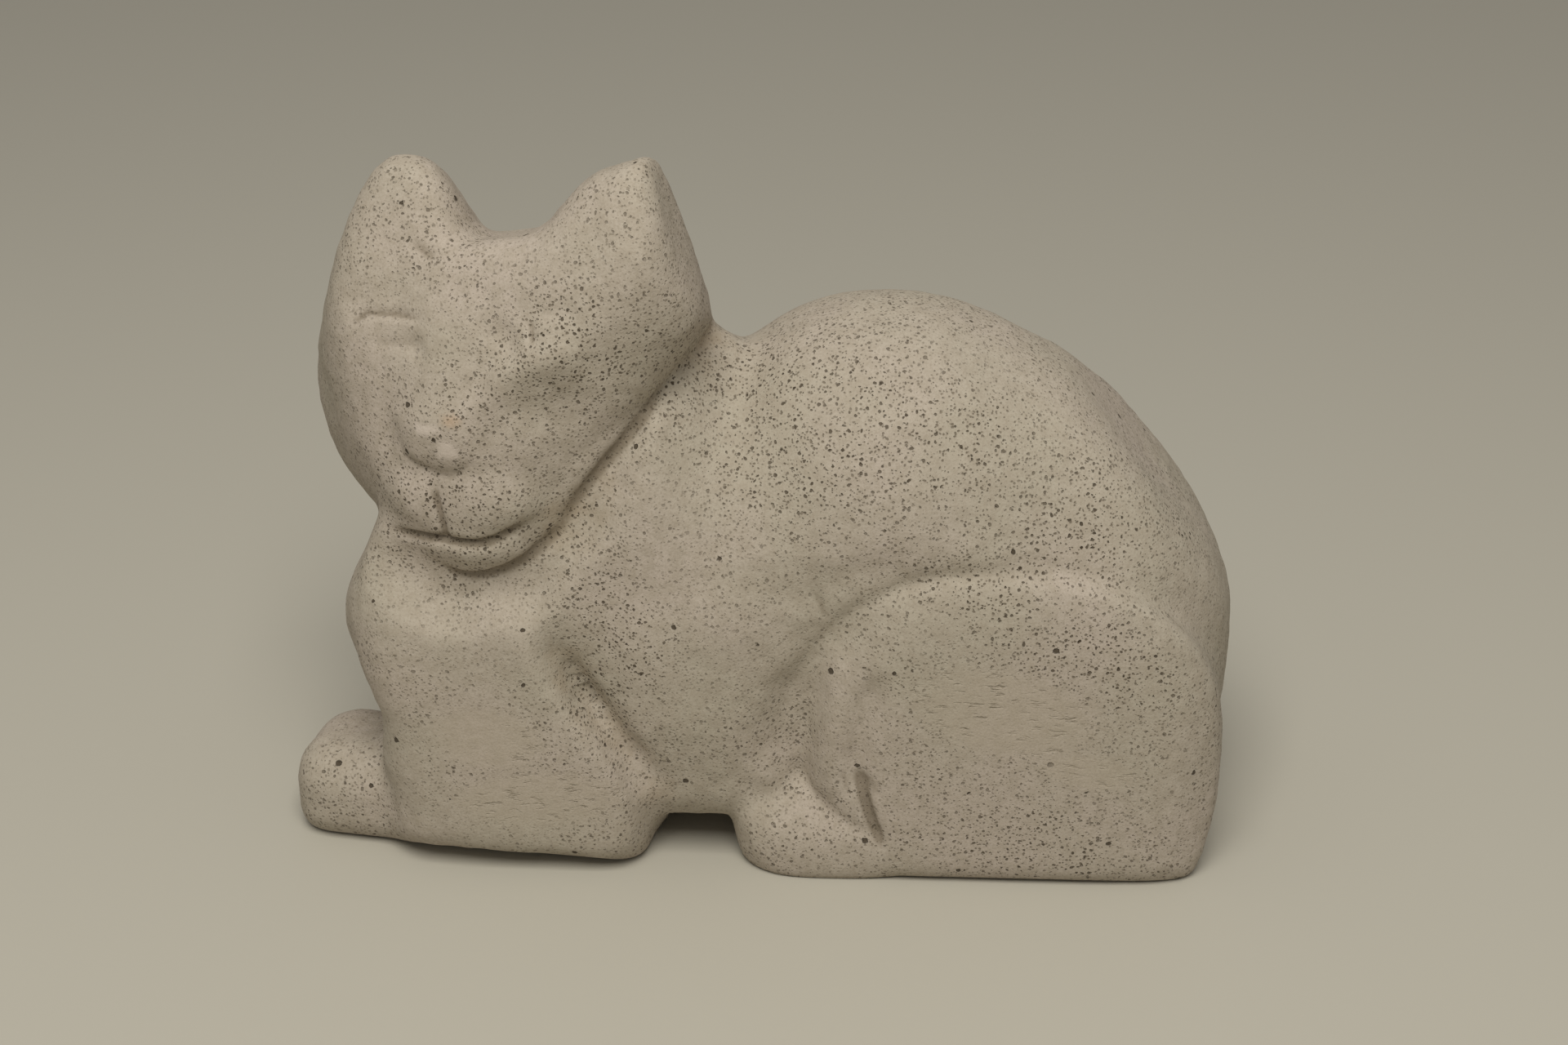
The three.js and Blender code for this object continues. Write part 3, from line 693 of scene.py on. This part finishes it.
# %% [markdown]
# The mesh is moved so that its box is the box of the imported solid: that lays the cat's middle over
# the origin and its underside on the ground. The move is under a millimetre.

# %% Make the piece
MILLIMETRE = 0.001


def fitted(point, box):
    """Each axis scaled and shifted so that the lowest and highest corners are those of the box."""
    low, high = point.min(1, keepdims=True), point.max(1, keepdims=True)
    lowest, highest = (np.reshape(corner, (3, 1)) for corner in box)
    return lowest + (point - low) * (highest - lowest) / (high - low)


def mesh_piece(name, point, quads, attributes):
    """A mesh from whole arrays: the points, the corners of each quad, and one number a point for
    each attribute."""
    mesh = bpy.data.meshes.new(name)
    mesh.vertices.add(point.shape[1])
    mesh.vertices.foreach_set("co", point.T.astype(np.float32).ravel())
    mesh.loops.add(quads.size)
    mesh.loops.foreach_set("vertex_index", quads.astype(np.int32).ravel())
    mesh.polygons.add(len(quads))
    mesh.polygons.foreach_set("loop_start", np.arange(0, quads.size, 4, dtype=np.int32))
    mesh.update(calc_edges=True)
    mesh.polygons.foreach_set("use_smooth", np.ones(len(quads), bool))
    for title, numbers in attributes.items():
        attribute = mesh.attributes.new(title, "FLOAT", "POINT")
        attribute.data.foreach_set("value", numbers.astype(np.float32))
    mesh.validate()
    piece = bpy.data.objects.new(name, mesh)
    bpy.context.scene.collection.objects.link(piece)
    return piece


placed = fitted(points, cad_box)
shift = np.abs(placed / MILLIMETRE - points).max(1)
print("moved by at most", [round(float(s), 2) for s in shift], "mm")
cat_piece = mesh_piece("carved_cat", placed, faces, masks)
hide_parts("cat")
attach(cat_piece, "root")
print(cat_piece.name, "has", 2 * len(faces), "triangles")

# %% [markdown]
# Shader maths is written as plain expressions. A wire stands for a socket: adding, subtracting or
# multiplying wires places the Math nodes. Every other node comes from one method, which sets the
# node up first and then feeds its sockets. The Mix node has sockets for each kind of value under
# the same names, so those of colours are picked by number.

# %% Wires
MIX_SHARE, MIX_FIRST, MIX_SECOND, MIX_RESULT = 0, 6, 7, 2


class Wire:
    """An output socket on a board. Adding, subtracting or multiplying it makes a Math node."""

    def __init__(self, board, node, socket=0):
        self.board, self.node = board, node
        self.socket = node.outputs[socket] if node.outputs else None

    def out(self, socket):
        """Another output of the same node."""
        return Wire(self.board, self.node, socket)

    def math(self, operation, *others):
        """A Math node fed by this wire and the others."""
        inputs = dict(enumerate((self,) + others))
        return self.board.add("ShaderNodeMath", {"operation": operation}, inputs)

    def __add__(self, other):
        return self.math("ADD", other)

    def __sub__(self, other):
        return self.math("SUBTRACT", other)

    def __mul__(self, other):
        return self.math("MULTIPLY", other)

    def __rsub__(self, other):
        return self.board.add("ShaderNodeMath", {"operation": "SUBTRACT"}, {0: other, 1: self})

    __radd__, __rmul__ = __add__, __mul__


class Board:
    """The nodes of one material."""

    def __init__(self, name):
        self.material = bpy.data.materials.new(name)
        self.material.use_nodes = True
        self.nodes, self.links = self.material.node_tree.nodes, self.material.node_tree.links
        self.nodes.clear()

    def add(self, kind, settings=None, inputs=None, socket=0):
        """A node of a kind, set up first, with its sockets fed by wires or numbers."""
        node = self.nodes.new(kind)
        for name, value in (settings or {}).items():
            setattr(node, name, value)
        for name, value in (inputs or {}).items():
            if isinstance(value, Wire):
                self.links.new(value.socket, node.inputs[name])
            else:
                node.inputs[name].default_value = value
        return Wire(self, node, socket)

    def blend(self, share, first, second):
        """The first colour, with a share of it given over to the second."""
        inputs = {MIX_SHARE: share, MIX_FIRST: first, MIX_SECOND: second}
        return self.add("ShaderNodeMix", {"data_type": "RGBA"}, inputs, MIX_RESULT)

    def fade(self, value, start, end):
        """From nought where the value is at start, smoothly to one where it is at end."""
        inputs = {"Value": value, "From Min": start, "From Max": end}
        return self.add("ShaderNodeMapRange", {"interpolation_type": "SMOOTHSTEP"}, inputs)

    def mask(self, name):
        """A mask that the mesh keeps for each point."""
        return self.add("ShaderNodeAttribute", {"attribute_name": name}, socket="Fac")


board = Board("aerated_concrete")
place = board.add("ShaderNodeTexCoord").out("Object")
print(board.material.name, "reads places on the object in metres")

# %% [markdown]
# Aerated concrete is a pale grey-beige foam: round pores, most of them well under a millimetre,
# cut open wherever the rasp went. Each layer of pores is a cloud of spheres, one in each cell of a
# pattern of random cells, so the surface opens some wide and only nicks others, as it does in the
# real stone. A little noise bends the place first, so that no pore is a perfect circle. Pores crowd
# together in clouds and in the places marked for it, and the smeared places have had theirs filled.

# %% Pores
BEND = 0.0009


def noise(scale, detail=2.0, roughness=0.5, socket="Fac", vector=place):
    """Soft noise whose lumps are about a metre over the scale across."""
    inputs = {"Vector": vector, "Scale": scale, "Detail": detail, "Roughness": roughness}
    return board.add("ShaderNodeTexNoise", {"noise_dimensions": "3D"}, inputs, socket)


def vector_math(operation, inputs):
    """A Vector Math node."""
    return board.add("ShaderNodeVectorMath", {"operation": operation}, inputs)


wobble = vector_math("SUBTRACT", {0: noise(900, 1.0, 0.5, "Color"), 1: (0.5, 0.5, 0.5)})
bent = vector_math("ADD", {0: place, 1: vector_math("SCALE", {0: wobble, "Scale": BEND})})


def pores(cell, radius, spread, seed):
    """How far inside a pore a point is: one less its distance from the cell's own middle over a
    radius that differs from cell to cell. Cell, radius and spread are in millimetres."""
    moved = vector_math("ADD", {0: bent, 1: (seed, seed * 0.7, seed * 1.3)})
    inputs = {"Vector": moved, "Scale": 1 / (cell * MILLIMETRE)}
    cells = board.add("ShaderNodeTexVoronoi", {"feature": "F1"}, inputs)
    chance = board.add("ShaderNodeSeparateColor", None, {"Color": cells.out("Color")})
    size = chance * (spread / cell) + (radius / cell)
    return 1 - cells.out("Distance").math("DIVIDE", size)


# The depth of the narrow lines is read back here for the painted shade in them.
smear, browned_creases, chipped, stained, line_shade, in_crowd = (board.mask(name) for name in masks)
crowd = board.fade(noise(38), 0.34, 0.64) * 0.55 + in_crowd * 0.45
unfilled = (1 - smear * 0.85) * (1 - chipped)
fine = board.fade(pores(0.95, 0.16, 0.32, 3.1), 0.0, 0.6) * (0.3 + 0.7 * crowd) * unfilled
middling = board.fade(pores(1.55, 0.12, 0.44, 7.7), 0.0, 0.4) * (0.35 + 0.65 * crowd) * unfilled
large = board.fade(pores(9.5, 0.05, 0.95, 12.9), 0.0, 0.3) * (1 - smear * 0.6) * (1 - chipped)
print("three layers of pores, in", len(board.nodes), "nodes so far")

# %% [markdown]
# The stone itself is two near greys in wide clouds, mottled and grainy on a smaller scale. Over it
# come, one by one, what the masks say: the smears and the torn grain drawn out along them, brown
# in the creases, chips, stain and painted shade in the narrow lines. The pores come last, darker
# the deeper they go. The same layers, put together as a height, feed the bump.

# %% Stone
def srgb(red, green, blue):
    """A colour seen on screen as the light that it stands for, each by the power of 2.2."""
    return (*((value / 255) ** 2.2 for value in (red, green, blue)), 1.0)


grain, mottle, cloud = noise(1500, 2.0, 0.65), noise(260, 3.0, 0.55), noise(22)
stretch = {"Vector": place, "Rotation": (0, 0.25, 0), "Scale": (0.3, 1, 1)}
drawn = board.add("ShaderNodeMapping", None, stretch)
torn = board.fade(noise(620, 3.0, 0.65, vector=drawn), 0.54, 0.7)
torn = torn * board.fade(noise(70), 0.35, 0.6) * smear

stone = board.blend(board.fade(cloud, 0.35, 0.68), srgb(170, 162, 146), srgb(176, 165, 152))
LAYERS = [
    (board.fade(mottle, 0.35, 0.7) * 0.55, srgb(158, 148, 132)),
    (board.fade(grain, 0.4, 0.7) * 0.45, srgb(146, 135, 119)),
    (smear * 0.35, srgb(170, 159, 141)),
    # darker brown along the neck groove and the arm's crease
    (browned_creases * board.fade(noise(120, 3.0), 0.3, 0.75) * 0.5, srgb(150, 130, 102)),
    (chipped * 0.6, srgb(202, 190, 178)),
    (stained * 0.3, srgb(170, 132, 92)),
    (torn * 0.35, srgb(140, 129, 112)),
    # painted shade in the narrow lines, darker where they are deeper
    (board.fade(line_shade, 0.15, 1.0) * 0.6, srgb(104, 92, 74)),
    (fine * 0.72, srgb(92, 81, 66)),
    (middling * 0.88, srgb(72, 62, 49)),
    (large * 0.9, srgb(66, 57, 45))]
for share, colour in LAYERS:
    stone = board.blend(share, stone, colour)

height = 0.16 * grain + 0.24 * mottle - 0.3 * fine - 0.5 * middling - 0.9 * large - 0.5 * torn
relief = {"Strength": 1.0, "Distance": 0.7 * MILLIMETRE, "Height": height}
finish = {"Base Color": stone, "Roughness": 0.93, "Specular IOR Level": 0.25,
          "Normal": board.add("ShaderNodeBump", None, relief)}
surface = board.add("ShaderNodeBsdfPrincipled", None, finish)
board.add("ShaderNodeOutputMaterial", None, {"Surface": surface})
cat_piece.data.materials.append(board.material)
print(board.material.name, "has", len(board.nodes), "nodes and", len(LAYERS), "layers on its grey")

# %% [markdown]
# The cat stands on a plain pale floor under one big soft light, which hangs above it and a little
# in front, in even light from all round. The camera looks down by twenty-six degrees.

# %% Floor, light and camera
FLOOR_HALF = 4
LAMP_PLACE, LAMP_TARGET = Vector((-0.02, -0.65, 1.15)), Vector((0, 0, 0.05))
LAMP_SIZE, LAMP_POWER, LAMP_COLOUR = 0.7, 13.2, (1.0, 0.97, 0.915)
AIR_COLOUR, AIR_STRENGTH = (1.0, 0.97, 0.92, 1.0), 0.34
AZIMUTH, ELEVATION, DISTANCE = 2.5, 26.0, 0.705
TARGET = Vector((0.0056, 0.0, 0.082))
SENSOR, LENS = 36, 60


def stood(name, data, stand, target):
    """A light or camera put at its stand and turned to face a target."""
    thing = bpy.data.objects.new(name, data)
    thing.location = stand
    thing.rotation_euler = (target - stand).to_track_quat("-Z", "Y").to_euler()
    bpy.context.scene.collection.objects.link(thing)
    return thing


corners = [(x * FLOOR_HALF, y * FLOOR_HALF, 0) for x, y in ((-1, -1), (1, -1), (1, 1), (-1, 1))]
floor_mesh = bpy.data.meshes.new("floor")
floor_mesh.from_pydata(corners, [], [(0, 1, 2, 3)])
floor = bpy.data.objects.new("floor", floor_mesh)
bpy.context.scene.collection.objects.link(floor)
paint = Board("pale_floor")
plain = {"Base Color": srgb(178, 174, 161), "Roughness": 0.7}
plain = paint.add("ShaderNodeBsdfPrincipled", None, plain)
paint.add("ShaderNodeOutputMaterial", None, {"Surface": plain})
floor_mesh.materials.append(paint.material)

light = bpy.data.lights.new("overhead", "AREA")
light.shape, light.size, light.energy, light.color = "SQUARE", LAMP_SIZE, LAMP_POWER, LAMP_COLOUR
stood("overhead", light, LAMP_PLACE, LAMP_TARGET)
world = bpy.data.worlds.new("even_light")
bpy.context.scene.world = world
world.use_nodes = True
background = world.node_tree.nodes["Background"]
background.inputs["Color"].default_value = AIR_COLOUR
background.inputs["Strength"].default_value = AIR_STRENGTH
bpy.context.scene.view_settings.view_transform = "Standard"

turn, rise = math.radians(AZIMUTH), math.radians(ELEVATION)
level = math.cos(rise)
back = Vector((math.sin(turn) * level, -math.cos(turn) * level, math.sin(rise)))
camera_data = bpy.data.cameras.new("camera")
camera_data.sensor_width, camera_data.lens = SENSOR, LENS
camera = stood("camera", camera_data, TARGET + back * DISTANCE, TARGET)
bpy.context.scene.camera = camera
print("camera at", [round(v, 3) for v in camera.location])
